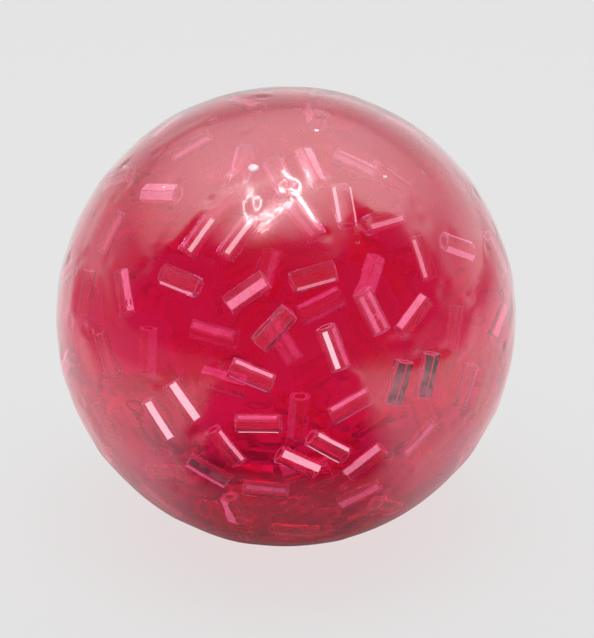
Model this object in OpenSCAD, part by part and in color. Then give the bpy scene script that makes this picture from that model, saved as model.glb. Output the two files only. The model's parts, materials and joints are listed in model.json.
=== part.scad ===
// Squishy ball: a clear elastic skin, filled through a plugged port with tinted gel
// that carries a few hundred short tube beads, cut from six-sided tube.
// Millimetres, +Z up, origin in the middle of the patch on which the ball rests.
// The front of the ball looks along -Y.

/* [Ball] */
// Outside diameter of the ball
ball_d = 70; // [64:1:90]
// Thickness of the clear skin
skin_wall = 1.4; // [1:0.1:2]
// Diameter of the flat patch on which the soft ball settles
patch_d = 18; // [16:1:24]
// How far the top goes down under a firm press
press_travel = 20; // [10:1:24]

/* [Fill port] */
// Diameter of the hole through which the ball is filled
port_d = 6; // [4:0.5:7]
// Height of the thick boss around the hole, above the floor of the skin
boss_h = 2.4; // [1.8:0.1:3]
// Width of the boss outside the glue ring, at its foot
boss_rim = 1.4; // [1:0.1:2]
// How much narrower the boss is at its top, on each side
boss_draft = 0.4; // [0:0.1:0.6]
// How far the plug's head reaches past the hole
head_over = 1.3; // [0.8:0.1:1.6]
// Thickness of the plug's head
head_t = 1; // [0.8:0.1:1.2]
// Height of the plug's head above the resting patch
head_recess = 0.3; // [0.2:0.1:0.5]
// Rounding of the head's lower edge
head_round = 0.3; // [0.1:0.1:0.5]
// How far the plug's inner lip reaches past the hole
lip_over = 0.6; // [0.3:0.1:0.9]
// Height of the inner lip, which tapers to the size of the hole
lip_h = 1.6; // [1:0.1:2]
// Width of the glue ring around the head
glue_w = 0.8; // [0.5:0.1:1.2]
// Depth of the hollow in the glue ring's lower face
glue_sag = 0.2; // [0.1:0.05:0.4]
// Clearance of the plug in its hole and of the glue ring on both sides
plug_fit = 0.05; // [0.03:0.01:0.1]

/* [Beads] */
// Diameter of a tube bead, over the corners of its hexagon
bead_d = 3; // [2.4:0.1:3.2]
// Bore of a tube bead
bead_bore = 1.5; // [1.2:0.1:1.7]
// Length of a tube bead
bead_len = 6.2; // [5:0.1:6.6]
// Gap between the skin and the outermost beads
wall_gap = 1.4; // [0.8:0.1:2]
// Gap between the two rows of beads behind the front
row_gap = 1.6; // [1.2:0.1:2]
// Least free space between beads in neighbouring shells
shell_gap = 0.8; // [0.6:0.1:2]
// Side of the square share of a shell that each bead has, in bead diagonals
bead_share = 1.5; // [1.4:0.05:2]
// Into how many height bands the beads behind the front are sorted
bands = 12; // [8:1:12]

/* [Gel] */
// Clearance around the gel, at the skin, the plug and every bead
gel_gap = 0.2; // [0.1:0.05:0.3]

/* [Hidden] */
$fn = 96;
// How far a cutting tool runs past the face that it cuts
past = 1;

// Ball
ball_r = ball_d / 2;
centre_z = sqrt(ball_r * ball_r - patch_d * patch_d / 4);
ball_h = centre_z + ball_r;
press_keep = 1 - press_travel / ball_h;

// Fill port, from the resting patch up
head_d = port_d + 2 * head_over;
seat_d = head_d + 2 * glue_w;
seat_top = head_recess + head_t;
boss_d = seat_d + 2 * boss_rim;
boss_top = skin_wall + boss_h;
lip_d = port_d + 2 * lip_over;
lip_top = boss_top + plug_fit + lip_h;

// Beads: two beads never touch when their middles are one diagonal apart
bead_diagonal = sqrt(bead_len * bead_len + bead_d * bead_d);
bead_sides = 6;
// From a corner of the hexagon to the middle of the next flat
half_side = 180 / bead_sides;
seat_r = ball_r - skin_wall - wall_gap - bead_d / 2;
row_step = bead_d + row_gap;
shell_step = bead_diagonal + shell_gap;
// The beads of a band move as one, so those at its edges need this much more room
band_slack = seat_r / bands * (1 - press_keep);
share_area = pow(bead_share * bead_diagonal, 2);
// The front of the ball tips up by this angle towards the eye
front_rise = 25;
// The turn between one seat of a shell and the next spreads them evenly
golden_turn = 180 * (3 - sqrt(5));
// Each shell starts at another turn, and its beads lie at another slant
shell_turn = 50;
slant_turn = 77;

// Beads behind the front of the skin: degrees to the right, degrees up, slant in the front view, and
// roll, which is 0 with a flat towards the skin and 30 with an edge towards it
FRONT_BEADS = [
    [-40, 49, 32, 0], [-15, 42, 90, 0], [-2, 38, -72, 0], [8, 41, -78, 30], [24, 42, -27, 30],
    [-57, 22, 60, 0], [-24, 21, 57, 30], [-13, 20, 57, 15], [5, 25, -57, 30], [17, 29, 90, 0],
    [28, 25, 26, 30], [39, 15, -76, 0], [53, 18, 6, 0], [-28, 9, -21, 0], [-46, 6, -65, 0],
    [-10, 6, 34, 15], [-3, -3, 47, 0], [7, 10, 17, 0], [-54, -10, -60, 20], [-9, -15, -22, 0],
    [12, -8, -68, 20], [22, 1, -60, 30], [34, 0, 42, 10], [48, -3, 80, 0], [31, -17, 80, 30],
    [40, -15, 87, 25], [-39, -27, -65, 30], [-29, -22, -57, 30], [-8, -28, 4, 0], [-19, -35, -65, 0],
    [-28, -43, -35, 30], [4, -40, -38, 20], [13, -35, -41, 0], [18, -23, 27, 0], [45, -33, 45, 15],
    [57, -18, 84, 25], [27, -40, 47, 0], [-8, -50, -5, 15], [32, -52, 40, 30], [-63, 6, 72, 10]
];
// Beads of the second row behind them, read in the same way
SECOND_ROW = [
    [-27, 48, 37, 0], [-24, 34, 25, 0], [-6, 13, 72, 30], [10, 3, 27, 0], [-21, -5, -12, 30],
    [-4, 31, 60, 0], [25, 11, 65, 15], [43, 42, -28, 30], [-44, -10, 76, 0], [-19, -19, -10, 0],
    [4, -30, 88, 15], [-1, -7, -58, 30], [9, -49, 20, 0]
];

function two_digits(i) = str(i < 10 ? "0" : "", i);
function bead_name(i) = str("bead_", two_digits(i + 1));
function band_name(k) = str("bead_band_", two_digits(k + 1));

function unit(v) = v / norm(v);

// From the front view (right, up, towards the eye) to the part's own axes
function from_front(p) = [
    p.x,
    p.y * sin(front_rise) - p.z * cos(front_rise),
    p.y * cos(front_rise) + p.z * sin(front_rise)
];

// A seat is the middle of a bead, measured from the middle of the ball, its long axis and its roll
function front_seat(bead, r) =
    let (
        n = from_front([sin(bead.x) * cos(bead.y), sin(bead.y), cos(bead.x) * cos(bead.y)]),
        along = from_front([cos(bead.z), sin(bead.z), 0])
    )
    [r * n, unit(along - (along * n) * n), bead[3]];

function shell_seat(i, count, r, start) =
    let (
        up = 1 - (2 * i + 1) / count,
        turn = start + i * golden_turn,
        level = sqrt(1 - up * up),
        n = [level * cos(turn), level * sin(turn), up],
        east = [-sin(turn), cos(turn), 0],
        slant = start + i * slant_turn
    )
    [r * n, east * cos(slant) + cross(n, east) * sin(slant), slant];

// The least distance that two middles keep, at rest and under a press
function apart(p, q) = norm([p.x - q.x, p.y - q.y, (p.z - q.z) * press_keep]);
function clear_of(p, seats) = min([for (s = seats) apart(p, s[0])]) > bead_diagonal;
function clear_of_port(p) =
    norm([p.x, p.y]) > (boss_d + bead_diagonal) / 2 + gel_gap
    || p.z + centre_z > lip_top + bead_diagonal / 2 + gel_gap;

function shell_count(r) = floor(4 * PI * r * r / share_area);
FRONT_SEATS = [for (b = FRONT_BEADS) front_seat(b, seat_r)];
SECOND_SEATS = [for (b = SECOND_ROW) front_seat(b, seat_r - row_step)];
READ_SEATS = concat(FRONT_SEATS, SECOND_SEATS);
SHELL_SEATS = [
    for (k = [0 : floor(seat_r / shell_step)])
        let (r = seat_r - band_slack - k * shell_step, count = shell_count(r))
        if (count > 0)
            for (i = [0 : count - 1])
                let (seat = shell_seat(i, count, r, k * shell_turn))
                if (clear_of(seat[0], READ_SEATS) && clear_of_port(seat[0]))
                    seat
];
BAND_SEATS = concat(SECOND_SEATS, SHELL_SEATS);
ALL_SEATS = concat(FRONT_SEATS, BAND_SEATS);

// Bands of equal height, counted from the bottom
function band_of(p) = min(bands - 1, floor((p.z / seat_r + 1) / 2 * bands));

module ball(r, floor_z) {
    intersection() {
        translate([0, 0, centre_z])
            sphere(r = r);
        translate([-ball_r, -ball_r, floor_z])
            cube(ball_d + past);
    }
}

module boss(grow = 0) {
    cylinder(d1 = boss_d + 2 * grow, d2 = boss_d - 2 * boss_draft + 2 * grow, h = boss_top + grow);
}

module lip(grow = 0) {
    translate([0, 0, boss_top + plug_fit])
        cylinder(d1 = lip_d + 2 * grow, d2 = port_d + 2 * grow, h = lip_h + grow);
}

module tube(seat, grow = 0) {
    outwards = unit(seat[0]);
    along = seat[1];
    tilt = acos(along.z);
    turn = atan2(along.y, along.x);
    // Where the tilted and turned axes of the hexagon point
    corner_way = [cos(tilt) * cos(turn), cos(tilt) * sin(turn), -sin(tilt)];
    side_way = [-sin(turn), cos(turn), 0];
    roll = atan2(outwards * side_way, outwards * corner_way) + half_side + seat[2];
    translate(seat[0] + [0, 0, centre_z])
        rotate([0, tilt, turn])
            rotate([0, 0, roll])
                difference() {
                    cylinder(d = bead_d + 2 * grow / cos(half_side), h = bead_len + 2 * grow,
                             center = true, $fn = bead_sides);
                    cylinder(d = bead_bore - 2 * grow, h = bead_len + 2 * grow + past, center = true);
                }
}

module skin() {
    color([0.95, 0.72, 0.77, 0.4])
        difference() {
            union() {
                difference() {
                    ball(ball_r, 0);
                    ball(ball_r - skin_wall, skin_wall);
                }
                boss();
            }
            translate([0, 0, -past])
                cylinder(d = seat_d, h = seat_top + past);
            cylinder(d = port_d, h = boss_top + past);
        }
}

module plug() {
    color([0.93, 0.66, 0.72, 0.8])
        union() {
            translate([0, 0, head_recess])
                rotate_extrude()
                    union() {
                        square([head_d / 2 - head_round, head_t]);
                        translate([0, head_round])
                            square([head_d / 2, head_t - head_round]);
                        translate([head_d / 2 - head_round, head_round])
                            circle(r = head_round);
                    }
            translate([0, 0, head_recess])
                cylinder(d = port_d - 2 * plug_fit, h = boss_top + plug_fit - head_recess);
            lip();
        }
}

module glue_ring() {
    color([0.96, 0.85, 0.86, 0.8])
        translate([0, 0, head_recess])
            difference() {
                cylinder(d = seat_d - 2 * plug_fit, h = head_t - plug_fit);
                translate([0, 0, -past])
                    cylinder(d = head_d + 2 * plug_fit, h = head_t + 2 * past);
                rotate_extrude()
                    translate([(head_d + seat_d) / 4, 0])
                        circle(r = glue_sag);
            }
}

module gel() {
    color([0.78, 0.04, 0.2, 0.6])
        difference() {
            ball(ball_r - skin_wall - gel_gap, skin_wall + gel_gap);
            boss(gel_gap);
            lip(gel_gap);
            for (seat = ALL_SEATS)
                tube(seat, gel_gap);
        }
}

module bead(i) {
    color([0.9, 0.3, 0.47, 0.9])
        tube(FRONT_SEATS[i]);
}

module bead_band(k) {
    color([0.84, 0.2, 0.4, 0.9])
        for (seat = BAND_SEATS)
            if (band_of(seat[0]) == k)
                tube(seat);
}

skin();
plug();
glue_ring();
gel();
for (i = [0 : len(FRONT_BEADS) - 1])
    bead(i);
for (k = [0 : bands - 1])
    bead_band(k);
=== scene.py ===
# %% [markdown]
# # A squishy ball, step by step
# The ball is a clear elastic skin full of tinted gel, and the gel carries short six-sided tube beads.
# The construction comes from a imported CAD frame, which says where every bead lies and how it moves.
# This lesson adds the looks around that frame: the light, the finishes, the skin, the gel and the
# beads.

# %% Load the frame
import json
import math
import random

import bpy
import numpy as np
from mathutils import Matrix, Vector


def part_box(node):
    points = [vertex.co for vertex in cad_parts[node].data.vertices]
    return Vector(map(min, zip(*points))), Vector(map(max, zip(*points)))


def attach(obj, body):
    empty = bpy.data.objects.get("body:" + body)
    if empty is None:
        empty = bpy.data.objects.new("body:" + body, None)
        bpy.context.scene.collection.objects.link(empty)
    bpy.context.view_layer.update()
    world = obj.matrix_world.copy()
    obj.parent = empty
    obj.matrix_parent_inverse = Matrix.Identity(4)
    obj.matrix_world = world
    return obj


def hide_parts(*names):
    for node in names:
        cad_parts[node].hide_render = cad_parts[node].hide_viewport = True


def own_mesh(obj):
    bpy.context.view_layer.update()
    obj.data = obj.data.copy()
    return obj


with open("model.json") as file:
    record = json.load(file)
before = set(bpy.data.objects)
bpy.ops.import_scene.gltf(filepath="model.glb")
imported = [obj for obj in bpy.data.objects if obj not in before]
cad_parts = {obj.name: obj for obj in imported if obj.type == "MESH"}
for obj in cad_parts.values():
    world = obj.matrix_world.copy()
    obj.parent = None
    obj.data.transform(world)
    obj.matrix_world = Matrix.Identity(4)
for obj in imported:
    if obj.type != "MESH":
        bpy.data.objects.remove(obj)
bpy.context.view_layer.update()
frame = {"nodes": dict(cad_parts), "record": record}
MM = 0.001

# %% [markdown]
# ## Sizes from the frame
# The ball, its wall, the flat patch under it and the moulded fill port could be typed in again, but
# nothing that is typed twice stays true. So they are measured on the points of the CAD skin. The height
# of a point and its distance from the upright axis tell the parts of the skin apart.

# %% Measure the ball
TOUCH = 0.01 * MM

skin_points = np.array([v.co for v in frame["nodes"]["skin"].data.vertices])
axis_gap = np.hypot(skin_points[:, 0], skin_points[:, 1])
ball_h = float(skin_points[:, 2].max())
ball_r = float(axis_gap.max())
centre = Vector((0, 0, ball_h - ball_r))
low_half = skin_points[:, 2] < centre.z
skin_wall = ball_h - float(skin_points[~low_half & (axis_gap < TOUCH), 2].min())
inner_r = ball_r - skin_wall
print(f"ball {2 * ball_r / MM:.2f} mm across, {ball_h / MM:.2f} mm high, wall {skin_wall / MM:.2f} mm")

# %% Measure the fill port
on_patch = skin_points[:, 2] < TOUCH
patch_r = float(axis_gap[on_patch].max())
seat_r = float(axis_gap[on_patch].min())
port_r = float(axis_gap[low_half].min())
in_port = low_half & (axis_gap < port_r + TOUCH)
seat_top = float(skin_points[in_port, 2].min())
boss_top = float(skin_points[in_port, 2].max())
# The inner wall has points at the boss's height too, but they lie further out.
on_boss = low_half & (abs(skin_points[:, 2] - boss_top) < TOUCH) & (axis_gap < 2 * seat_r)
boss_r = float(axis_gap[on_boss].max())
print(f"patch {2 * patch_r / MM:.2f}, seat {2 * seat_r / MM:.2f}, port {2 * port_r / MM:.2f} mm across")
print(f"seat {seat_top / MM:.2f}, boss {boss_top / MM:.2f} mm high, boss {2 * boss_r / MM:.2f} mm across")

# %% [markdown]
# The record's squeeze joint says how far the filling goes down under a press. The top of the ball goes
# down twice as far, and the pressed ball keeps the rest of its height.

# %% Measure the press
squeeze = next(j for j in frame["record"]["behaviour"]["joints"] if j["name"] == "squeeze")
middle_drop = max(squeeze["range_m"])
PRESS_KEEP = 1 - 2 * middle_drop / ball_h
print(f"pressed ball keeps {PRESS_KEEP:.4f} of its height")

# %% [markdown]
# ## Camera
# The view looks down on the ball from the front. The lens could be turned until the ball looks right,
# but its radius in pixels gives the focal length at once. The ball is a little left of the frame's
# middle, so the lens is shifted by those few pixels.

# %% Set the camera
FRAME_W, FRAME_H = 594, 638
BALL_X, BALL_Y, BALL_PIXELS = 286.1, 316.4, 229.9
CAMERA_RISE = math.radians(25)
CAMERA_AWAY = 0.35
CAMERA_NEAREST = 0.01
SENSOR = 36.0

scene = bpy.context.scene
camera_data = bpy.data.cameras.new("camera")
camera = bpy.data.objects.new("camera", camera_data)
scene.collection.objects.link(camera)
to_eye = Vector((0, -math.cos(CAMERA_RISE), math.sin(CAMERA_RISE)))
camera.location = centre + to_eye * CAMERA_AWAY
camera.rotation_euler = (-to_eye).to_track_quat("-Z", "Y").to_euler()
edge_slope = math.tan(math.asin(ball_r / CAMERA_AWAY))
# The sensor spans the longer side of the frame, which is its height.
camera_data.sensor_width = SENSOR
camera_data.lens = BALL_PIXELS / FRAME_H * SENSOR / edge_slope
camera_data.shift_x = (FRAME_W / 2 - BALL_X) / FRAME_H
camera_data.shift_y = (BALL_Y - FRAME_H / 2) / FRAME_H
camera_data.clip_start = CAMERA_NEAREST
scene.camera = camera
print(f"lens {camera_data.lens:.1f} mm")

# %% [markdown]
# ## Light paths
# Colours are shown as they are written, by the Standard view. Light has to cross many clear walls in
# this ball, so its paths get more bounces than the usual twelve. With fewer, the beads turn black.

# %% Set the light paths
CLEAR_BOUNCES = 40
MIRROR_BOUNCES = 12
DIFFUSE_BOUNCES = 8

scene.view_settings.view_transform = "Standard"
scene.cycles.max_bounces = CLEAR_BOUNCES
scene.cycles.transmission_bounces = CLEAR_BOUNCES
scene.cycles.transparent_max_bounces = CLEAR_BOUNCES
scene.cycles.volume_bounces = MIRROR_BOUNCES
scene.cycles.glossy_bounces = MIRROR_BOUNCES
scene.cycles.diffuse_bounces = DIFFUSE_BOUNCES
print("bounces:", scene.cycles.max_bounces)

# %% [markdown]
# ## Node helpers
# The world, the floor and the finishes are built from the same few nodes: a Math node, a Map Range node
# and a Mix node. They could be added by hand in the node editor. A short function for each keeps the
# steps readable, and its inputs may be numbers or the outputs of other nodes.

# %% Write the node helpers
def link_or_set(links, socket, value):
    if isinstance(value, bpy.types.NodeSocket):
        links.new(value, socket)
    else:
        socket.default_value = value


def math_node(tree, operation, *values):
    """One Math node, which isn't clamped."""
    node = tree.nodes.new("ShaderNodeMath")
    node.operation = operation
    for socket, value in zip(node.inputs, values):
        link_or_set(tree.links, socket, value)
    return node.outputs[0]


def times(tree, first, second):
    return math_node(tree, "MULTIPLY", first, second)


def range_node(tree, value, from_min, from_max, to_min, to_max):
    """One clamped Map Range node."""
    node = tree.nodes.new("ShaderNodeMapRange")
    for socket, number in zip(list(node.inputs)[1:5], (from_min, from_max, to_min, to_max)):
        socket.default_value = number
    tree.links.new(value, node.inputs["Value"])
    return node.outputs["Result"]


def mix_node(tree, factor, first, second):
    """One Mix node for plain numbers."""
    node = tree.nodes.new("ShaderNodeMix")
    for socket, value in zip(list(node.inputs)[0:1] + list(node.inputs)[2:4], (factor, first, second)):
        link_or_set(tree.links, socket, value)
    return node.outputs["Result"]


def colour_mix(tree, factor, first, second):
    """One Mix node for colours."""
    node = tree.nodes.new("ShaderNodeMix")
    node.data_type = "RGBA"
    factor_in, first_in, second_in = (node.inputs[i] for i in (0, 6, 7))
    for socket, value in ((factor_in, factor), (first_in, first), (second_in, second)):
        link_or_set(tree.links, socket, value)
    return node.outputs[2]


# %% [markdown]
# ## The world
# A clear ball shows its surroundings, so these matter as much as its own colour. A picture of a room
# could be wrapped around it, but a few levels by direction are enough. What the camera sees directly is
# a plain pale sheet. What shines through the ball fades upwards and is paler at the sides. What is
# mirrored on the skin is pale behind the ball and along the horizon, and dark in front.

# %% Set the world
PALE = 0.783
ROOM_LIGHT = 0.3
THROUGH_RISE, THROUGH_LOW, THROUGH_HIGH = (0.0, 0.4), 0.27, 0.12
THROUGH_SIDE, THROUGH_SIDE_GAIN = (0.15, 0.45), 2.6
MIRROR_DEPTH, MIRROR_FRONT, MIRROR_BACK = (-0.1, 0.5), 0.02, 0.42
MIRROR_WIDTH, MIRROR_LEFT, MIRROR_RIGHT = (-0.7, 0.7), 0.7, 1.1
HORIZON_RISE, HORIZON_GAIN = (0.05, 0.6), 2.2

world = bpy.data.worlds.new("studio")
scene.world = world
world.use_nodes = True
tree = world.node_tree
ray = tree.nodes.new("ShaderNodeLightPath").outputs
way = tree.nodes.new("ShaderNodeSeparateXYZ")
tree.links.new(tree.nodes.new("ShaderNodeTexCoord").outputs["Generated"], way.inputs[0])
way = way.outputs

mirrored = times(tree, range_node(tree, way["Y"], *MIRROR_DEPTH, MIRROR_FRONT, MIRROR_BACK),
                 range_node(tree, way["X"], *MIRROR_WIDTH, MIRROR_LEFT, MIRROR_RIGHT))
mirrored = times(tree, mirrored, range_node(tree, way["Z"], *HORIZON_RISE, HORIZON_GAIN, 1))
aside = math_node(tree, "ABSOLUTE", way["X"])
through = times(tree, range_node(tree, way["Z"], *THROUGH_RISE, THROUGH_LOW, THROUGH_HIGH),
                range_node(tree, aside, *THROUGH_SIDE, 1, THROUGH_SIDE_GAIN))
level = mix_node(tree, ray["Is Glossy Ray"], ROOM_LIGHT, mirrored)
level = mix_node(tree, ray["Is Transmission Ray"], level, through)
level = mix_node(tree, ray["Is Camera Ray"], level, PALE)
tree.links.new(level, tree.nodes["Background"].inputs["Strength"])
tree.nodes["Background"].inputs["Color"].default_value = (1, 1, 1, 1)
print("world nodes:", len(tree.nodes))

# %% [markdown]
# ## The lamps
# A wide panel hangs over and behind the ball. It is mirrored on the upper third of the skin as a milky
# haze, which fades towards the top because the panel is dimmer at its back. A smaller window in front
# of it gives the bright patch in the middle, and three thin light tubes in front of the window give the
# white streaks. A plain area lamp has hard edges, which would show as a line on the skin, so nodes
# soften the front and the ends of the first two.

# %% Write the lamp helpers
def soft_glow(tree, fade, front, sides):
    """Fade the glow of a lamp across its second side, and soften its front edge and its two ends."""
    place = tree.nodes.new("ShaderNodeSeparateXYZ")
    tree.links.new(tree.nodes.new("ShaderNodeNewGeometry").outputs["Parametric"], place.inputs[0])
    along, across = place.outputs["X"], place.outputs["Y"]
    level = times(tree, range_node(tree, across, 0, 1, 1, fade), range_node(tree, across, 0, front, 0, 1))
    from_end = math_node(tree, "MINIMUM", along, math_node(tree, "SUBTRACT", 1, along))
    level = times(tree, level, range_node(tree, from_end, 0, sides, 0, 1))
    tree.links.new(level, tree.nodes["Emission"].inputs["Strength"])


def add_lamp(name, place, aim, along, size, glow, soft=None):
    """A flat lamp whose face has the given brightness, where white paper in full light is 1.

    Its first side lies along the given direction."""
    data = bpy.data.lights.new(name, "AREA")
    data.shape = "RECTANGLE"
    data.size, data.size_y = size
    data.energy = glow * math.pi * size[0] * size[1]
    if soft:
        data.use_nodes = True
        soft_glow(data.node_tree, *soft)
    lamp = bpy.data.objects.new(name, data)
    scene.collection.objects.link(lamp)
    back = (place - aim).normalized()
    first = (along - along.dot(back) * back).normalized()
    turned = Matrix((first, back.cross(first), back)).transposed()
    lamp.matrix_world = Matrix.Translation(place) @ turned.to_4x4()
    lamp.visible_camera = False
    print(f"{name}: {data.energy:.2f} W")


VIEW_RIGHT = Vector((1, 0, 0))
VIEW_UP = Vector((0, math.sin(CAMERA_RISE), math.cos(CAMERA_RISE)))


def front_direction(right, up):
    """A direction given in degrees right of and above the line from the ball to the eye."""
    r, u = math.radians(right), math.radians(up)
    return VIEW_RIGHT * math.sin(r) * math.cos(u) + VIEW_UP * math.sin(u) + to_eye * math.cos(r) * math.cos(u)


# %% Hang the panel and the window
PANEL_RISE = 0.4
PANEL_SIZE = (1.8, 0.62)
PANEL_BACKWARDS = 0.29
PANEL_GLOW = 1.75
PANEL_SOFT = (0.16, 0.05, 0.36)
WINDOW_AWAY = 0.6
WINDOW_AIM = (-6, 51)
WINDOW_SIZE = (0.8, 0.36)
WINDOW_GLOW = 2.3
WINDOW_SOFT = (0.6, 0.45, 0.25)

panel_middle = centre + Vector((0, PANEL_BACKWARDS, PANEL_RISE))
under_panel = panel_middle - Vector((0, 0, 1))
add_lamp("overhead", panel_middle, under_panel, VIEW_RIGHT, PANEL_SIZE, PANEL_GLOW, PANEL_SOFT)
window_middle = centre + front_direction(*WINDOW_AIM) * WINDOW_AWAY
add_lamp("window", window_middle, centre, VIEW_RIGHT, WINDOW_SIZE, WINDOW_GLOW, WINDOW_SOFT)

# %% Hang the light tubes
LIGHT_TUBES = (((-2, 73), (19, 45), 0.035), ((-34, 62), (-15, 40), 0.015), ((1, 58), (-15, 40), 0.015))
LIGHT_TUBE_AWAY = 0.97 * WINDOW_AWAY
LIGHT_TUBE_GLOW = 14

for i, (start, stop, width) in enumerate(LIGHT_TUBES):
    first_end, last_end = (centre + front_direction(*end) * LIGHT_TUBE_AWAY for end in (start, stop))
    along = last_end - first_end
    middle = (first_end + last_end) / 2
    add_lamp(f"tube_{i + 1}", middle, centre, along, (along.length, width), LIGHT_TUBE_GLOW)

# %% [markdown]
# ## The floor
# The ball lies on a plain pale sheet. Lit paper would do, but its brightness would then hang on every
# lamp. So most of what the camera sees of it is an even light of its own, and the rest is paper, which
# keeps the ball's shadow. All of its levels go by the place on the sheet, in metres from the ball's
# axis, and what the ball shows of it, through it and mirrored, carries painted shade and light.

# %% Lay the floor
FLOOR_SIZE = 8
FLOOR_GAP = 0.05 * MM
PAPER_GREY = (0.5, 0.5, 0.5, 1)
PAPER_ROUGH = 0.9

bpy.ops.object.select_all(action="DESELECT")
bpy.ops.mesh.primitive_plane_add(size=FLOOR_SIZE, location=(0, 0, -FLOOR_GAP))
floor = bpy.context.active_object
floor.name = "floor"
floor_paint = bpy.data.materials.new("pale_floor")
floor_paint.use_nodes = True
tree = floor_paint.node_tree
paper = tree.nodes["Principled BSDF"]
paper.inputs["Base Color"].default_value = PAPER_GREY
paper.inputs["Roughness"].default_value = PAPER_ROUGH
paper.inputs["Specular IOR Level"].default_value = 0.0
floor.data.materials.append(floor_paint)
print("floor:", FLOOR_SIZE, "m wide")

# %% Find the place on the floor
ray = tree.nodes.new("ShaderNodeLightPath").outputs
spot = tree.nodes.new("ShaderNodeTexCoord").outputs["Object"]
away = tree.nodes.new("ShaderNodeVectorMath")
away.operation = "LENGTH"
tree.links.new(spot, away.inputs[0])
away = away.outputs["Value"]
place = tree.nodes.new("ShaderNodeSeparateXYZ")
tree.links.new(spot, place.inputs[0])
floor_x, floor_y = place.outputs["X"], place.outputs["Y"]
sideways = math_node(tree, "ABSOLUTE", floor_x)
print("place nodes:", len(tree.nodes))

# %% [markdown]
# Seen through the ball, the sheet's glow carries a painted shadow: it is darker in the ball's shade, and
# fades with the distance. Straight behind the ball it fades sooner, and at the sides it is paler.

# %% Floor seen through the ball
SHADE_NEAR, SHADE_FAR, SHADE_LEFT = 0.02, 0.09, 0.6
THROUGH_FADE_NEAR, THROUGH_FADE_FAR, THROUGH_FAR = 0.08, 0.35, 0.36
DIM_FROM, DIM_TO, DIM_LEVEL = 0.09, 0.15, 0.72
SIDE_SLANT, SIDE_GAIN = (0.15, 0.45), 1.2

# Painted shadow: the glow seen through the ball is lowered near the ball.
through = times(tree, range_node(tree, away, SHADE_NEAR, SHADE_FAR, SHADE_LEFT, 1),
                range_node(tree, away, THROUGH_FADE_NEAR, THROUGH_FADE_FAR, 1, THROUGH_FAR))
at_side = range_node(tree, math_node(tree, "DIVIDE", sideways, away), *SIDE_SLANT, 0, 1)
dimmed = range_node(tree, away, DIM_FROM, DIM_TO, 1, DIM_LEVEL)
through = times(tree, through, mix_node(tree, at_side, dimmed, SIDE_GAIN))
print("nodes so far:", len(tree.nodes))

# %% [markdown]
# Mirrored on the skin, the sheet's glow is painted light and shade: pale behind the ball, fading to the
# sides, sooner on the left, and painted dark in front and in the ball's shade. Near the ball it is
# tinted red, a painted pool of the light that comes through the gel.

# %% Floor mirrored on the skin
FRONT_REACH, FRONT_LEAN = 0.03, 1.6
FRONT_NEAR, FRONT_FAR, FRONT_LIGHT, FRONT_DARK = 0.035, 0.05, 0.4, 0.04
MIRROR_SHADE_FAR, MIRROR_SHADE = 0.045, 0.4
FADE_NEAR, FADE_FAR, LEFT_HASTE = 0.15, 0.4, 2
MIRROR_NEAR, MIRROR_FAR = 0.95, 0.22
BACK_FROM, BACK_TO = 0.45, 0.8
STRAIGHT_FROM, STRAIGHT_TO, STRAIGHT_LEVEL = 0.97, 0.995, 0.75
GEL_LIGHT_NEAR, GEL_LIGHT_FAR, GEL_LIGHT_TINT = 0.03, 0.13, (1, 0.65, 0.68, 1)

# Painted shade: the mirrored glow is dark in front of the ball and in its shade.
past_front = math_node(tree, "ADD", floor_y, times(tree, sideways, FRONT_LEAN))
in_front = range_node(tree, away, FRONT_NEAR, FRONT_FAR, FRONT_LIGHT, FRONT_DARK)
not_front = mix_node(tree, range_node(tree, past_front, 0, FRONT_REACH, 0, 1), in_front, 1)
past_shade = range_node(tree, away, SHADE_NEAR, MIRROR_SHADE_FAR, MIRROR_SHADE, 1)
hastened = math_node(tree, "MAXIMUM", floor_x, times(tree, floor_x, -LEFT_HASTE))
backwards = math_node(tree, "DIVIDE", floor_y, away)
mirrored = mix_node(tree, range_node(tree, backwards, BACK_FROM, BACK_TO, 0, 1),
                    range_node(tree, hastened, FADE_NEAR, FADE_FAR, MIRROR_NEAR, MIRROR_FAR), MIRROR_NEAR)
mirrored = times(tree, mirrored, range_node(tree, backwards, STRAIGHT_FROM, STRAIGHT_TO, 1, STRAIGHT_LEVEL))
mirrored = times(tree, mirrored, times(tree, not_front, past_shade))
# Painted light: near the ball the mirrored glow turns red, for the gel's light on the floor.
painted_gel_light = times(tree, ray["Is Glossy Ray"], range_node(tree, away, GEL_LIGHT_NEAR, GEL_LIGHT_FAR, 1, 0))
print("nodes so far:", len(tree.nodes))

# %% Mix the floor's light
FLOOR_GLOW = 0.84
FLOOR_SHARE = 0.8

glow = tree.nodes.new("ShaderNodeEmission")
level = mix_node(tree, ray["Is Glossy Ray"], 1.0, mirrored)
level = mix_node(tree, ray["Is Transmission Ray"], level, through)
tree.links.new(times(tree, level, FLOOR_GLOW), glow.inputs["Strength"])
tree.links.new(colour_mix(tree, painted_gel_light, (1, 1, 1, 1), GEL_LIGHT_TINT), glow.inputs["Color"])
by_glass = math_node(tree, "MAXIMUM", ray["Is Glossy Ray"], ray["Is Transmission Ray"])
share = math_node(tree, "MAXIMUM", by_glass, times(tree, ray["Is Camera Ray"], FLOOR_SHARE))
mix = tree.nodes.new("ShaderNodeMixShader")
tree.links.new(share, mix.inputs["Fac"])
tree.links.new(paper.outputs["BSDF"], mix.inputs[1])
tree.links.new(glow.outputs["Emission"], mix.inputs[2])
tree.links.new(mix.outputs["Shader"], tree.nodes["Material Output"].inputs["Surface"])
print("floor nodes:", len(tree.nodes))

# %% [markdown]
# ## Finish helpers
# Every finish starts from Blender's main shader, whose sockets are set by name. Lamp light could find
# its way through the clear pieces as caustics, but that takes thousands of samples. So clear pieces let
# it pass straight through, with a tint.

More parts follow.
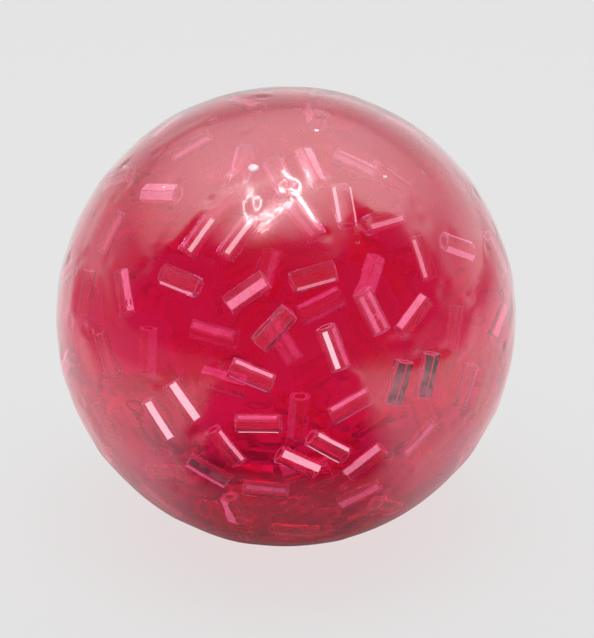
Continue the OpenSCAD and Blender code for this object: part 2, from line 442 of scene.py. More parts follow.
# %% Write the finish helpers
def new_finish(name):
    finish = bpy.data.materials.new(name)
    finish.use_nodes = True
    return finish, finish.node_tree


def set_looks(tree, looks):
    """Set sockets of the main shader to a number or a colour, or link them to a node."""
    for name, value in looks.items():
        link_or_set(tree.links, tree.nodes["Principled BSDF"].inputs[name], value)


def let_lamps_through(tree, tint):
    ray = tree.nodes.new("ShaderNodeLightPath").outputs
    clear = tree.nodes.new("ShaderNodeBsdfTransparent")
    clear.inputs["Color"].default_value = tint
    mix = tree.nodes.new("ShaderNodeMixShader")
    tree.links.new(ray["Is Shadow Ray"], mix.inputs["Fac"])
    tree.links.new(tree.nodes["Principled BSDF"].outputs["BSDF"], mix.inputs[1])
    tree.links.new(clear.outputs["BSDF"], mix.inputs[2])
    tree.links.new(mix.outputs["Shader"], tree.nodes["Material Output"].inputs["Surface"])


def noise(tree, size):
    """A noise pattern whose lumps are about the given size, on the piece's own coordinates."""
    node = tree.nodes.new("ShaderNodeTexNoise")
    node.inputs["Scale"].default_value = 1 / size
    tree.links.new(tree.nodes.new("ShaderNodeTexCoord").outputs["Object"], node.inputs["Vector"])
    return node.outputs["Fac"]


def clouds(tree, size, tints):
    """A colour that drifts between two tints in lumps of about the given size."""
    return colour_mix(tree, noise(tree, size), *tints)


# %% [markdown]
# ## Skin finish
# The real skin is soft clear plastic, satin to the touch, with small pits from the mould. Pits could be
# modelled, but they are finer than the mesh, so a bump does it: round pits from a Voronoi pattern and a
# fine grain. A slightly rough clear wall under a softer coat gives the satin look. The inner wall meets
# gel of nearly the same index, so nothing bends the light again there, and its finish is plainly clear.

# %% Make the skin finish
PIT_SPREAD, PIT_R, PIT_DEEP = 7 * MM, 0.6 * MM, 0.12 * MM
GRAIN, GRAIN_DEEP = 2.5 * MM, 0.06 * MM
GRAIN_SPAN, SKIN_ROUGH = (0.3, 0.7), (0.03, 0.07)
SKIN_SHADOW = (0.95, 0.9, 0.92, 1)

skin_paint, tree = new_finish("clear_skin")
grain = noise(tree, GRAIN)
pits = tree.nodes.new("ShaderNodeTexVoronoi")
pits.inputs["Scale"].default_value = 1 / PIT_SPREAD
tree.links.new(tree.nodes.new("ShaderNodeTexCoord").outputs["Object"], pits.inputs["Vector"])
pit_share = PIT_R / PIT_SPREAD
hollow = range_node(tree, pits.outputs["Distance"], pit_share / 2, pit_share, -PIT_DEEP, 0)
bump = tree.nodes.new("ShaderNodeBump")
bump.inputs["Distance"].default_value = 1.0
tree.links.new(math_node(tree, "ADD", hollow, times(tree, grain, GRAIN_DEEP)), bump.inputs["Height"])
set_looks(tree, {
    "Base Color": (1.0, 0.97, 0.975, 1), "Transmission Weight": 1.0, "IOR": 1.42,
    "Coat Weight": 1.0, "Coat Roughness": 0.16, "Coat IOR": 1.8,
    "Roughness": range_node(tree, grain, *GRAIN_SPAN, *SKIN_ROUGH), "Normal": bump.outputs["Normal"],
})
let_lamps_through(tree, SKIN_SHADOW)
print(skin_paint.name, "nodes:", len(tree.nodes))

# %% Make the inner wall's finish
inner_paint, tree = new_finish("skin_inside")
tree.nodes.remove(tree.nodes["Principled BSDF"])
clear = tree.nodes.new("ShaderNodeBsdfTransparent")
tree.links.new(clear.outputs["BSDF"], tree.nodes["Material Output"].inputs["Surface"])
print(inner_paint.name, "nodes:", len(tree.nodes))

# %% [markdown]
# ## Gel finish
# The gel is tinted through and through. Painting its surface red would make every part of it equally
# red. Instead its volume takes out green and blue along the way, so a short way looks pink and a long
# way looks deep red.

# %% Make the gel finish
GEL_TINT, GEL_DEPTH = (0.962, 0.03, 0.55, 1), 88
GEL_CLOUD, GEL_TINTS = 12 * MM, ((1.0, 0.94, 0.97, 1), (1.0, 1.0, 1.0, 1))
CLEAR = (1, 1, 1, 1)

gel_paint, tree = new_finish("tinted_gel")
set_looks(tree, {
    "Base Color": clouds(tree, GEL_CLOUD, GEL_TINTS),
    "Transmission Weight": 1.0, "IOR": 1.0, "Roughness": 0.0,
})
let_lamps_through(tree, CLEAR)
absorb = tree.nodes.new("ShaderNodeVolumeAbsorption")
absorb.inputs["Color"].default_value = GEL_TINT
absorb.inputs["Density"].default_value = GEL_DEPTH
tree.links.new(absorb.outputs["Volume"], tree.nodes["Material Output"].inputs["Volume"])
print(gel_paint.name, "nodes:", len(tree.nodes))

# %% [markdown]
# ## Bead finishes
# A bead is hardly brighter than the gel around it: what shows is the facets that catch the light. Clear
# beads alone would need a real room to mirror, so that light is painted. Every facet carries three
# attributes, its tone, from painted shade through the bead's own red and pink to a white painted
# highlight, how milky it is, and a painted glow, and the finish reads them. Gel in front of a milky facet
# would turn it grey, so the painted highlight is also a faint glow, on the outer side only. The beads deep
# inside are only soft clouds in the gel, and have a blurred finish with faint clouds of colour.

# %% Write the bead finishes
BEAD_TINT, BORE_TINT = (1.0, 0.75, 0.88, 1), (1.0, 0.6, 0.78, 1)
BEAD_SHADOW = (1.0, 0.8, 0.88, 1)
BEAD_INDEX, BEAD_ROUGH, BORE_ROUGH = 1.05, 0.03, 0.05
BORE_CLOUD = 1 * MM
DEEP_TINTS = ((1.0, 0.72, 0.86, 1), (1.0, 0.9, 0.96, 1))
DEEP_INDEX, DEEP_ROUGH = 1.025, 0.3
DEEP_CLOUD, DEEP_BORE_CLOUD = 3 * MM, 2 * MM


def bead_finish(name, tint, index, rough):
    paint, tree = new_finish(name)
    set_looks(tree, {"Base Color": tint, "Transmission Weight": 1.0, "IOR": index, "Roughness": rough})
    let_lamps_through(tree, BEAD_SHADOW)
    return paint, tree


def cloudy_finish(name, tints, index, rough, size):
    """A bead finish whose tint varies by faint clouds."""
    paint, tree = bead_finish(name, tints[0], index, rough)
    set_looks(tree, {"Base Color": clouds(tree, size, tints)})
    return paint


bore_paint = cloudy_finish("tube_bore", (BORE_TINT, BEAD_TINT), BEAD_INDEX, BORE_ROUGH, BORE_CLOUD)
deep_paint = cloudy_finish("deep_tube_bead", DEEP_TINTS, DEEP_INDEX, DEEP_ROUGH, DEEP_CLOUD)
deep_bore_paint = cloudy_finish("deep_tube_bore", DEEP_TINTS, DEEP_INDEX, DEEP_ROUGH, DEEP_BORE_CLOUD)
print("cloudy finishes:", [paint.name for paint in (bore_paint, deep_paint, deep_bore_paint)])

# %% Make the facets' finish, with painted light
# Tone 0 is painted shade, 0.3 and 0.6 are the bead's own red and pink, and 1 is a white painted highlight.
FACET_TINTS_AND_PAINTED_LIGHT = (
    (0.0, (0.17, 0.085, 0.07, 1)),
    (0.3, (0.95, 0.05, 0.26, 1)),
    (0.6, (1.0, 0.2, 0.48, 1)),
    (1.0, (1.0, 1.0, 1.0, 1)),
)
MILK_CLOUD = 1.6 * MM
MILK_SPAN, MILK_SHARES = (0.35, 0.65), (0.55, 1.2)


def attribute(tree, name):
    node = tree.nodes.new("ShaderNodeAttribute")
    node.attribute_name = name
    return node.outputs["Fac"]


bead_paint, tree = bead_finish("tube_bead", BEAD_TINT, BEAD_INDEX, BEAD_ROUGH)
tone = tree.nodes.new("ShaderNodeValToRGB")
for position, colour in FACET_TINTS_AND_PAINTED_LIGHT[1:-1]:
    tone.color_ramp.elements.new(position)
for element, (position, colour) in zip(tone.color_ramp.elements, FACET_TINTS_AND_PAINTED_LIGHT):
    element.position, element.color = position, colour
tree.links.new(attribute(tree, "tint_and_painted_light"), tone.inputs["Fac"])
tone = tone.outputs["Color"]
patchy = range_node(tree, noise(tree, MILK_CLOUD), *MILK_SPAN, *MILK_SHARES)
milk = times(tree, attribute(tree, "milk_and_painted_strips"), patchy)
from_behind = tree.nodes.new("ShaderNodeNewGeometry").outputs["Backfacing"]
outwards_only = math_node(tree, "SUBTRACT", 1, from_behind)
# The milky share shows the painted tone, and the emission is a painted glow on the outer side only.
set_looks(tree, {
    "Base Color": colour_mix(tree, milk, BEAD_TINT, tone),
    "Transmission Weight": range_node(tree, milk, 0, 1, 1, 0),
    "Emission Color": tone,
    "Emission Strength": times(tree, attribute(tree, "painted_glow"), outwards_only),
})
print(bead_paint.name, "nodes:", len(tree.nodes))

# %% [markdown]
# ## Bubble, plug and glue finishes
# An air bubble mirrors more light than clear glass would here, so its finish is a painted highlight,
# mostly white. The plug is soft plastic in the gel's colour and the glue is paler and shinier. Plain
# colours would look painted, so faint clouds vary them.

# %% Make the bubble, plug and glue finishes
BUBBLE_CLOUD, BUBBLE_HIGHLIGHT_TINTS = 1 * MM, ((1, 0.96, 0.97, 1), (1, 1, 1, 1))
PLUG_CLOUD, PLUG_TINTS = 2 * MM, ((0.82, 0.34, 0.44, 1), (0.9, 0.46, 0.55, 1))
PLUG_GRAIN, PLUG_ROUGH = 0.6 * MM, (0.35, 0.5)
GLUE_CLOUD, GLUE_TINTS = 1.5 * MM, ((0.93, 0.7, 0.74, 1), (0.97, 0.82, 0.85, 1))
GLUE_GRAIN, GLUE_ROUGH = 1 * MM, (0.1, 0.25)


def moulded_finish(name, cloud, tints, grain, rough):
    paint, tree = new_finish(name)
    set_looks(tree, {
        "Base Color": clouds(tree, cloud, tints),
        "Roughness": range_node(tree, noise(tree, grain), *GRAIN_SPAN, *rough),
    })
    return paint


plug_paint = moulded_finish("soft_plug", PLUG_CLOUD, PLUG_TINTS, PLUG_GRAIN, PLUG_ROUGH)
glue_paint = moulded_finish("clear_glue", GLUE_CLOUD, GLUE_TINTS, GLUE_GRAIN, GLUE_ROUGH)
# Painted highlight: the bubble is mostly white and only a little clear.
bubble_paint, tree = new_finish("air_bubble")
set_looks(tree, {
    "Base Color": clouds(tree, BUBBLE_CLOUD, BUBBLE_HIGHLIGHT_TINTS),
    "Transmission Weight": 0.2, "IOR": 1.2, "Roughness": 0.1,
})
let_lamps_through(tree, CLEAR)
print("finishes:", [paint.name for paint in (bubble_paint, plug_paint, glue_paint)])

# %% [markdown]
# ## Where the beads lie
# Each CAD bead is a six-sided tube. The middle of its box is its middle, the direction in which its
# points spread furthest is its axis, and the point furthest from that axis is a corner of its hexagon.
# Reading this from the frame is surer than writing 200 places down again.

# %% Take the bead bands apart
def loose_parts(mesh):
    """The points of each separate solid in a mesh of loose triangles."""
    points = np.array([v.co for v in mesh.vertices])
    first_at = {}
    same = [first_at.setdefault(tuple(p), i) for i, p in enumerate(np.round(points / TOUCH).astype(int))]
    parent = list(range(len(points)))

    def root(i):
        while parent[i] != i:
            parent[i] = parent[parent[i]]
            i = parent[i]
        return i

    for face in mesh.polygons:
        a = root(same[face.vertices[0]])
        for v in face.vertices[1:]:
            parent[root(same[v])] = a
    groups = {}
    for i in range(len(points)):
        groups.setdefault(root(same[i]), []).append(i)
    return [points[g] for g in groups.values()]


bead_nodes = {name: node for name, node in frame["nodes"].items() if name.startswith("bead")}
bead_solids = {name: loose_parts(node.data) for name, node in bead_nodes.items()}
print("beads:", sum(len(solids) for solids in bead_solids.values()))

# %% Read the seats
def seat_of(points):
    """A bead's middle, axis and corner, and its length, width and bore."""
    middle = (points.min(0) + points.max(0)) / 2
    single = np.unique(np.round(points - middle, 6), axis=0)
    axis = np.linalg.svd(single, full_matrices=False)[2][0]
    along = single @ axis
    across = single - np.outer(along, axis)
    away = np.linalg.norm(across, axis=1)
    corner = Vector(across[away.argmax()]).normalized()
    return Vector(middle), Vector(axis), corner, np.ptp(along), 2 * away.max(), 2 * away.min()


seats = {name: [seat_of(points) for points in solids] for name, solids in bead_solids.items()}
BEAD_LEN, BEAD_D, BEAD_BORE = (float(v) for v in seats["bead_01"][0][3:])
print(f"bead {BEAD_LEN / MM:.2f} mm long, {BEAD_D / MM:.2f} mm across, bore {BEAD_BORE / MM:.2f} mm")

# %% [markdown]
# ## Modelling helpers
# Operators act on what is selected, so each step first clears the selection and picks its own piece.

# %% Write the modelling helpers
def pick(*pieces):
    """Select these pieces only, and make the first one active."""
    bpy.ops.object.select_all(action="DESELECT")
    for piece in pieces:
        piece.select_set(True)
    bpy.context.view_layer.objects.active = pieces[0]


def apply_modifiers(piece):
    pick(piece)
    for modifier in list(piece.modifiers):
        bpy.ops.object.modifier_apply(modifier=modifier.name)


def apply_place(piece):
    pick(piece)
    bpy.ops.object.transform_apply(location=True, rotation=True, scale=True)


def joined(pieces):
    pick(*pieces)
    if len(pieces) > 1:
        bpy.ops.object.join()
    return bpy.context.active_object


def cut_level(place, normal, **keep):
    """Select all in edit mode and cut it with a plane."""
    bpy.ops.mesh.select_all(action="SELECT")
    bpy.ops.mesh.bisect(plane_co=place, plane_no=normal, threshold=TOUCH / 10, **keep)


# %% [markdown]
# ## The skin
# A soft ball is moulded round a core. Two balls could be cut from each other, but then the port and the
# boss would take more cuts. So its section is drawn and turned about the upright axis. Two circles give
# the outer and the inner face. The outer one is cut flat where the ball rests, and its end is pulled
# point by point around the plug's seat, up the port and down the boss to the inner face.

# %% Draw the section
OUTER_POINTS, INNER_POINTS = 360, 100


def draw_half_circle(points, radius, floor_z):
    bpy.ops.mesh.primitive_circle_add(
        vertices=points, radius=radius, location=centre, rotation=(math.pi / 2, 0, 0))
    arc = bpy.context.active_object
    apply_place(arc)
    bpy.ops.object.mode_set(mode="EDIT")
    cut_level((0, 0, 0), (1, 0, 0), clear_inner=True)
    cut_level((0, 0, floor_z), (0, 0, 1), clear_inner=True)
    bpy.ops.object.mode_set(mode="OBJECT")
    return arc


def pull_end(arc, start_z, stops):
    """Pull the end of the arc that lies at the given height from stop to stop."""
    pick(arc)
    at = max((v.co.x, v.co.z) for v in arc.data.vertices if abs(v.co.z - start_z) < TOUCH)
    for vertex in arc.data.vertices:
        vertex.select = abs(vertex.co.z - start_z) < TOUCH
    bpy.ops.object.mode_set(mode="EDIT")
    bpy.ops.mesh.select_mode(type="VERT")
    for stop in stops:
        step = (stop[0] - at[0], 0, stop[1] - at[1])
        bpy.ops.mesh.extrude_region_move(TRANSFORM_OT_translate={"value": step})
        at = stop
    bpy.ops.object.mode_set(mode="OBJECT")


inner_floor_r = math.sqrt(inner_r ** 2 - (centre.z - skin_wall) ** 2)
skin = draw_half_circle(OUTER_POINTS, ball_r, 0)
pull_end(skin, 0, [(seat_r, 0), (seat_r, seat_top), (port_r, seat_top), (port_r, boss_top),
                   (boss_r, boss_top), (boss_r, skin_wall), (inner_floor_r, skin_wall)])
skin = joined([skin, draw_half_circle(INNER_POINTS, inner_r, skin_wall)])
skin.name = "skin_clear"
print("section points:", len(skin.data.vertices))

# %% Turn the section
TURN_STEPS = 300

bpy.ops.object.mode_set(mode="EDIT")
bpy.ops.mesh.select_all(action="SELECT")
bpy.ops.mesh.remove_doubles(threshold=TOUCH)
bpy.ops.mesh.select_all(action="SELECT")
bpy.ops.mesh.spin(steps=TURN_STEPS, angle=2 * math.pi, center=(0, 0, 0), axis=(0, 0, 1))
bpy.ops.mesh.select_all(action="SELECT")
bpy.ops.mesh.remove_doubles(threshold=TOUCH)
bpy.ops.mesh.normals_make_consistent(inside=False)
bpy.ops.object.mode_set(mode="OBJECT")
print("skin faces:", len(skin.data.polygons))

# %% [markdown]
# The beads lie close behind the skin and press it out a little, so low ridges run over them, with a
# dent at each end. They break up the mirrored lamps. They could be sculpted, but the beads' own places
# say where they belong. Vertex groups hold how near each point is to a bead and to a bead's end, and a
# Displace modifier moves the skin by each. A third one adds a slow ripple.

# %% Find what lies over the beads
RIDGE_REACH = 2.6 * MM
DENT_R = 1.4 * MM
DENT_OUT = 0.9 * MM
NEAR_SKIN = 27 * MM
FLAT_UP_TO = 1 * MM


def eased(share):
    return share * share * (3 - 2 * share)


def over_beads(points):
    """How near each point of the skin, measured from the ball's middle, is to a bead and to a bead's end."""
    lift, dent = np.zeros(len(points)), np.zeros(len(points))
    for middle, axis, *rest in (seat for group in seats.values() for seat in group):
        seat = np.array(middle - centre)
        depth = np.linalg.norm(seat)
        if depth > NEAR_SKIN:
            gap = points * (depth / ball_r) - seat
            along = gap @ np.array(axis)
            from_bead = gap - np.outer(np.clip(along, -BEAD_LEN / 2, BEAD_LEN / 2), axis)
            lift = np.maximum(lift, 1 - np.linalg.norm(from_bead, axis=1) / RIDGE_REACH)
            from_axis = np.linalg.norm(gap - np.outer(along, axis), axis=1)
            past_end = np.hypot(abs(along) - BEAD_LEN / 2 - DENT_OUT, from_axis)
            dent = np.maximum(dent, 1 - past_end / DENT_R)
    return eased(lift), eased(dent)


points = np.array([v.co for v in skin.data.vertices])
from_middle = points - np.array(centre)
on_ball = (np.linalg.norm(from_middle, axis=1) > ball_r - TOUCH) & (points[:, 2] > FLAT_UP_TO)
ridge, dent = over_beads(from_middle)
print("ridge and dent points:", int((ridge > 0).sum()), int((dent > 0).sum()))

# %% Raise the ridges
RIDGE_RISE = 0.12 * MM
DENT_DEEP = 0.18 * MM
RIPPLE, RIPPLE_RISE = 11 * MM, 0.12 * MM

for name, weights in (("ridge", ridge * on_ball), ("dent", dent * on_ball), ("ball", on_ball.astype(float))):
    group = skin.vertex_groups.new(name=name)
    for i in np.nonzero(weights)[0]:
        group.add([int(i)], float(weights[i]), "REPLACE")
for name, rise in (("ridge", RIDGE_RISE), ("dent", -DENT_DEEP)):
    relief = skin.modifiers.new(name, "DISPLACE")
    relief.vertex_group, relief.strength, relief.mid_level = name, rise, 0
ripple = skin.modifiers.new("ripple", "DISPLACE")
ripple.vertex_group, ripple.strength, ripple.mid_level = "ball", RIPPLE_RISE, 0.5
ripple.texture = bpy.data.textures.new("ripple", "CLOUDS")
ripple.texture.noise_scale = RIPPLE
ripple.texture_coords = "LOCAL"
apply_modifiers(skin)
print("points on the ball:", int(on_ball.sum()))

# %% Sort the skin's faces
SMOOTH_UP_TO = math.radians(30)

skin.data.materials.append(skin_paint)
skin.data.materials.append(inner_paint)
for face in skin.data.polygons:
    middle = face.center
    outer = (middle - centre).length > ball_r - skin_wall / 2 or middle.z < seat_top + TOUCH
    face.material_index = 0 if outer else 1
pick(skin)
bpy.ops.object.shade_smooth_by_angle(angle=SMOOTH_UP_TO)
print("inner faces:", sum(face.material_index for face in skin.data.polygons))

# %% [markdown]
# ## The gel
# The gel fills the skin up to a hair's breadth. The CAD gel has a room for every bead, which clear
# finishes would show as a second set of walls, so this one is a plain ball, cut flat over the floor of
# the skin, with a round hollow where the boss and the plug reach into it. The plug stays as it is when
# the gel is pressed flat, so the hollow is high enough to clear it then.

# %% Model the gel
GEL_SLACK = 0.05 * MM
GEL_SEGMENTS, GEL_RINGS = 96, 48

gel_low, gel_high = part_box("gel")
gel_r = inner_r - GEL_SLACK
plug_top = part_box("plug")[1].z
gel_gap = inner_r - (gel_high.x - gel_low.x) / 2
gel_floor_r = math.sqrt(gel_r ** 2 - (centre.z - gel_low.z) ** 2)
hollow_top = (plug_top + gel_gap) / PRESS_KEEP

bpy.ops.object.select_all(action="DESELECT")
bpy.ops.mesh.primitive_uv_sphere_add(
    segments=GEL_SEGMENTS, ring_count=GEL_RINGS, radius=gel_r, location=centre)
gel = bpy.context.active_object
gel.name = "gel_fill"
apply_place(gel)
bpy.ops.object.mode_set(mode="EDIT")
cut_level((0, 0, gel_low.z), (0, 0, 1), clear_inner=True, use_fill=True)
bpy.ops.mesh.inset(thickness=gel_floor_r - boss_r - gel_gap)
bpy.ops.mesh.extrude_region_move(TRANSFORM_OT_translate={"value": (0, 0, hollow_top - gel_low.z)})
bpy.ops.mesh.select_all(action="SELECT")
bpy.ops.mesh.normals_make_consistent(inside=False)
bpy.ops.object.mode_set(mode="OBJECT")
bpy.ops.object.shade_smooth_by_angle(angle=SMOOTH_UP_TO)
gel.data.materials.append(gel_paint)
print(f"gel faces: {len(gel.data.polygons)}, hollow {hollow_top / MM:.2f} mm high")

# %% [markdown]
# ## The tube bead
# The beads are cut from six-sided tube. One is modelled by hand: a six-sided bar is drilled through,
# and on the front beads its edges are broken a little. A drilled bar keeps flat ends, as a cut tube
# has. The bar's first corner points along Y, so each copy is turned until that corner lies where its
# CAD bead has one.

# %% Model one bead
BEAD_SIDES = 6
FRONT_BORE_SIDES, PLAIN_BORE_SIDES = 20, 12
EDGE_BREAK = 0.08 * MM
EDGE_ANGLE = math.radians(50)
BEAD_SMOOTH_UP_TO = math.radians(40)
WALL_SLOPE = 0.5


def tube_master(bore_sides, edge_break, wall_finish, bore_finish):
    bpy.ops.object.select_all(action="DESELECT")
    bpy.ops.mesh.primitive_cylinder_add(vertices=bore_sides, radius=BEAD_BORE / 2, depth=2 * BEAD_LEN)
    drill = bpy.context.active_object
    bpy.ops.object.select_all(action="DESELECT")
    bpy.ops.mesh.primitive_cylinder_add(vertices=BEAD_SIDES, radius=BEAD_D / 2, depth=BEAD_LEN)
    tube = bpy.context.active_object
    bore = tube.modifiers.new("bore", "BOOLEAN")
    bore.operation = "DIFFERENCE"
    bore.object = drill
    if edge_break:
        rim = tube.modifiers.new("rim", "BEVEL")
        rim.width = edge_break
        rim.segments = 1
        rim.limit_method = "ANGLE"
        rim.angle_limit = EDGE_ANGLE
    apply_modifiers(tube)
    bpy.data.objects.remove(drill)
    tube.data.materials.clear()
    tube.data.materials.append(wall_finish)
    tube.data.materials.append(bore_finish)
    for face in tube.data.polygons:
        from_axis = Vector((face.center.x, face.center.y, 0))
        in_bore = face.normal.dot(from_axis) < 0 and abs(face.normal.z) < WALL_SLOPE
        face.material_index = 1 if in_bore else 0
    pick(tube)
    bpy.ops.object.shade_smooth_by_angle(angle=BEAD_SMOOTH_UP_TO)
    return tube


front_tube = tube_master(FRONT_BORE_SIDES, EDGE_BREAK, bead_paint, bore_paint)
outer_tube = tube_master(PLAIN_BORE_SIDES, 0, bead_paint, bore_paint)
deep_tube = tube_master(PLAIN_BORE_SIDES, 0, deep_paint, deep_bore_paint)
print("faces of one bead:", [len(tube.data.polygons) for tube in (front_tube, outer_tube, deep_tube)])

# %% [markdown]
# ## Painted light on the facets
# The front beads are told apart by their light, which is painted. On each one, the facets that slant
# upwards and those that slant downwards have a painted tone, from 0 for painted shade to 1 for a white
# painted highlight, or none where they are clear. A tone over the whole facet looks like paint, so a
# strip is inset in it, with a border left clear. The third value is the width of that border. Beads that
# aren't listed draw their painted tones at random.

# %% List the lit beads
FINE, THIN, WIDE = 0.5 * MM, 0.32 * MM, 0.08 * MM
# Painted highlight and painted shade: each bead's upper and lower facet tones, and the strip border.
PAINTED_LIGHT_SIDES = {
    "bead_07": (0.6, 1.0, THIN), "bead_08": (0.6, 1.0, THIN), "bead_10": (1.0, 1.0, THIN),
    "bead_11": (None, 0.8, THIN), "bead_12": (0.85, 0.85, THIN), "bead_14": (None, 0.8, THIN),
    "bead_16": (None, 0.7, WIDE), "bead_17": (0.05, 0.0, FINE), "bead_18": (None, 0.85, THIN),
    "bead_20": (0.8, 0.6, THIN), "bead_21": (0.55, 1.0, THIN), "bead_25": (0.03, 0.0, WIDE),
    "bead_26": (0.03, 0.0, WIDE), "bead_27": (0.95, None, WIDE), "bead_28": (0.95, None, WIDE),
    "bead_29": (0.6, 1.0, THIN), "bead_30": (0.8, None, THIN), "bead_31": (0.05, 0.6, WIDE),
    "bead_32": (0.9, None, WIDE), "bead_33": (0.9, 0.9, THIN), "bead_34": (0.65, 0.65, THIN),
}
OUTER_TONES, SECOND_TONES = (0.38, 0.8), (0.35, 0.5)
PAINTED_LIGHT_SHARE = 0.6
draw = random.Random(7)


def drawn_tone(span):
    tone = draw.uniform(*span)
    return tone if draw.random() < PAINTED_LIGHT_SHARE else None


print("beads with listed light:", len(PAINTED_LIGHT_SIDES))

# %% Cut the strips
SLANT_MIN, SLANT_MAX = 0.3, 0.98
SIDE_LEVEL, END_LEVEL = 0.1, 0.7
FACET_AREA = BEAD_LEN * BEAD_D / 6


def cut_strips(piece, facets, edge):
    """Inset the chosen facets by the given edge, and return the faces left inside."""
    pick(piece)
    bpy.ops.object.mode_set(mode="EDIT")
    bpy.ops.mesh.select_mode(type="FACE")
    bpy.ops.mesh.select_all(action="DESELECT")
    bpy.ops.object.mode_set(mode="OBJECT")
    for i in facets:
        piece.data.polygons[i].select = True
    bpy.ops.object.mode_set(mode="EDIT")
    if facets:
        bpy.ops.mesh.inset(thickness=edge, use_individual=True)
    bpy.ops.object.mode_set(mode="OBJECT")
    return {face.index for face in piece.data.polygons if face.select}


print(f"facets are over {FACET_AREA / MM ** 2:.2f} square mm")

# %% [markdown]
# Strips painted bright, as painted highlights, are only a little milky and get a painted glow, and strips
# painted dark, as painted shade, are milky all through. The cut ends are frosted. Beads high up lie
# behind the haze on the skin, so their painted light is veiled.

# %% Paint light and shade on the facets
PLAIN_TONE, BORDER_TONE, SHADE_BORDER_TONE = 0.4, 0.5, 0.1
HIGHLIGHT_STRIP_MILK, SHADE_STRIP_MILK, END_MILK, CLEAR_MILK, BORDER_MILK = 0.3, 1.0, 0.4, 0.05, 0.15
LISTED_PAINTED_GLOW, DRAWN_PAINTED_GLOW, SECOND_PAINTED_GLOW, PAINTED_HIGHLIGHT_FROM = 0.9, 0.75, 0.6, 0.25
VEILED, VEILED_FROM = 0.6, 0.55


# Paints light and shade on a bead's facets: the tones stand for how the overhead light falls on them.
def paint_light_on_facets(piece, name, middle, axis):
    outwards = (middle - centre).normalized()
    across = axis.cross(outwards)
    across *= 1 if across.dot(VIEW_UP) > 0 else -1
    outer = (middle - centre).length > NEAR_SKIN
    span = OUTER_TONES if outer else SECOND_TONES
    drawn = drawn_tone(span), drawn_tone(span), draw.choice((THIN, WIDE))
    upper, lower, edge = PAINTED_LIGHT_SIDES.get(name, drawn)
    painted_strip_glow = LISTED_PAINTED_GLOW if name in PAINTED_LIGHT_SIDES else DRAWN_PAINTED_GLOW if outer else SECOND_PAINTED_GLOW
    veil = VEILED if outwards.z > VEILED_FROM else 1

    def painted_side_tone(face):
        """The painted tone of the side that a facet slants to, from painted shade to painted highlight, or
        none where the bead is clear.
        """
        is_side = abs(face.normal.dot(axis)) < SIDE_LEVEL
        slants = SLANT_MIN < face.normal.dot(outwards) < SLANT_MAX
        return (upper if face.normal.dot(across) > 0 else lower) if is_side and slants else None

    lit = [face.index for face in piece.data.polygons
           if painted_side_tone(face) is not None and face.area > FACET_AREA]
    strips = cut_strips(piece, lit, edge)
    tones, milks, painted_glows = [], [], []
    for face in piece.data.polygons:
        tone, milk, glow = PLAIN_TONE, CLEAR_MILK, 0
        # Strips carry the painted tone and its painted glow; borders of painted-shade strips are painted dark
        # too.
        if face.index in strips:
            tone = painted_side_tone(face)
            milk = HIGHLIGHT_STRIP_MILK if tone > PAINTED_HIGHLIGHT_FROM else SHADE_STRIP_MILK
            glow = painted_strip_glow * max(0, tone - PAINTED_HIGHLIGHT_FROM)
        elif abs(face.normal.dot(axis)) > END_LEVEL:
            tone, milk = draw.uniform(*span), END_MILK
        elif painted_side_tone(face) is not None:
            tone = BORDER_TONE if painted_side_tone(face) > PLAIN_TONE else SHADE_BORDER_TONE
            milk = BORDER_MILK
        tones.append(tone)
        milks.append(milk * veil)
        painted_glows.append(glow * veil)
    for attribute_name, values in (("tint_and_painted_light", tones), ("milk_and_painted_strips", milks), ("painted_glow", painted_glows)):
        piece.data.attributes.new(attribute_name, "FLOAT", "FACE").data.foreach_set("value", values)


# %% [markdown]
# Every bead is a copy of one of the three masters with its own mesh, turned and moved to its seat. A
# band's beads move together, so they are joined into one piece.

# %% Place the beads
TONED_FROM = 25 * MM
FRONT = [name for name in seats if "band" not in name]


def bead_piece(name):
    copies = []
    for middle, axis, corner, *sizes in seats[name]:
        toned = (middle - centre).length > TONED_FROM
        master = front_tube if name in FRONT else outer_tube if toned else deep_tube
        copy = master.copy()
        copy.data = master.data.copy()
        scene.collection.objects.link(copy)
        turned = Matrix((corner.cross(axis), corner, axis)).transposed()
        copy.matrix_world = Matrix.Translation(middle) @ turned.to_4x4()
        apply_place(copy)
        if toned:
            paint_light_on_facets(copy, name, middle, axis)
        copies.append(copy)
    piece = joined(copies)
    piece.name = name + "_tube"
    return piece


for name in seats:
    piece = bead_piece(name)
    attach(piece, name)
    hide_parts(name)
for master in (front_tube, outer_tube, deep_tube):
    bpy.data.objects.remove(master)
print("bead pieces:", len(seats), "of which front beads:", len(FRONT))

# %% [markdown]
# ## Air bubbles
# A few bubbles stay behind when the ball is filled. They rise to the skin and are pressed flat against
# it, so each one is a small ball, drawn a little wider and cut off towards the skin. A list gives where
# each one lies, in degrees right of and above the line to the eye, and its size in mm.

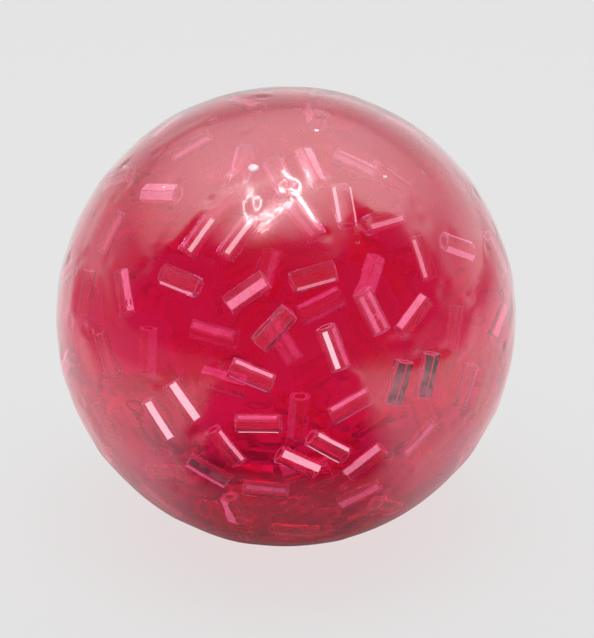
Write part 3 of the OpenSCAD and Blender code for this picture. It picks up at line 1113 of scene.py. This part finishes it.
# %% Model the bubbles
BUBBLES = ((-10.3, 38.8, 1.3), (31, 36, 0.5), (-38, 33, 0.4), (12, 52, 0.6), (-66, 40, 0.7), (100, 50, 0.8),
           (160, 55, 0.6))
BUBBLE_DEPTH = 0.3 * MM
BUBBLE_SEGMENTS, BUBBLE_RINGS = 20, 12
BUBBLE_STRETCH = (1.25, 1, 0.85)
BUBBLE_CUT = 0.6
BUBBLE_SMOOTH_UP_TO = math.radians(60)


def bubble(right, up, size):
    outwards = front_direction(right, up)
    r = size * MM / 2
    place = centre + outwards * (inner_r - BUBBLE_DEPTH - r)
    bpy.ops.object.select_all(action="DESELECT")
    bpy.ops.mesh.primitive_uv_sphere_add(segments=BUBBLE_SEGMENTS, ring_count=BUBBLE_RINGS, radius=r)
    piece = bpy.context.active_object
    bpy.ops.object.mode_set(mode="EDIT")
    bpy.ops.mesh.select_all(action="SELECT")
    bpy.ops.transform.resize(value=BUBBLE_STRETCH)
    cut_level((0, 0, BUBBLE_CUT * r), (0, 0, 1), clear_outer=True, use_fill=True)
    bpy.ops.object.mode_set(mode="OBJECT")
    piece.matrix_world = Matrix.Translation(place) @ outwards.to_track_quat("Z", "Y").to_matrix().to_4x4()
    apply_place(piece)
    bpy.ops.object.shade_smooth_by_angle(angle=BUBBLE_SMOOTH_UP_TO)
    return piece


air = joined([bubble(*entry) for entry in BUBBLES])
air.name = "air_bubbles"
air.data.materials.append(bubble_paint)
print("bubbles:", len(BUBBLES))

# %% [markdown]
# ## Plug and glue
# The plug and its ring of glue could be modelled anew, but they are right as the CAD gives them. They
# only get their finishes.

# %% Finish the plug and the glue
for name, paint in (("plug", plug_paint), ("glue_ring", glue_paint)):
    slots = frame["nodes"][name].data.materials
    for i in range(len(slots)):
        slots[i] = paint
    print(name, "finish slots:", len(slots))

# %% [markdown]
# ## Riding on the bodies
# Under a press the skin stays with the shell and flattens towards the table. The gel's body goes down
# by half as much as the top of the ball, and the gel and the bubbles flatten about the ball's middle
# height.

# %% Ride, replace and squash
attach(skin, "shell")
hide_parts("skin")
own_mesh(skin)
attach(gel, "filling")
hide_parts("gel")
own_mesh(gel)
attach(air, "filling")
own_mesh(air)
print(f"pressed ball: {ball_h * PRESS_KEEP / MM:.1f} mm high")
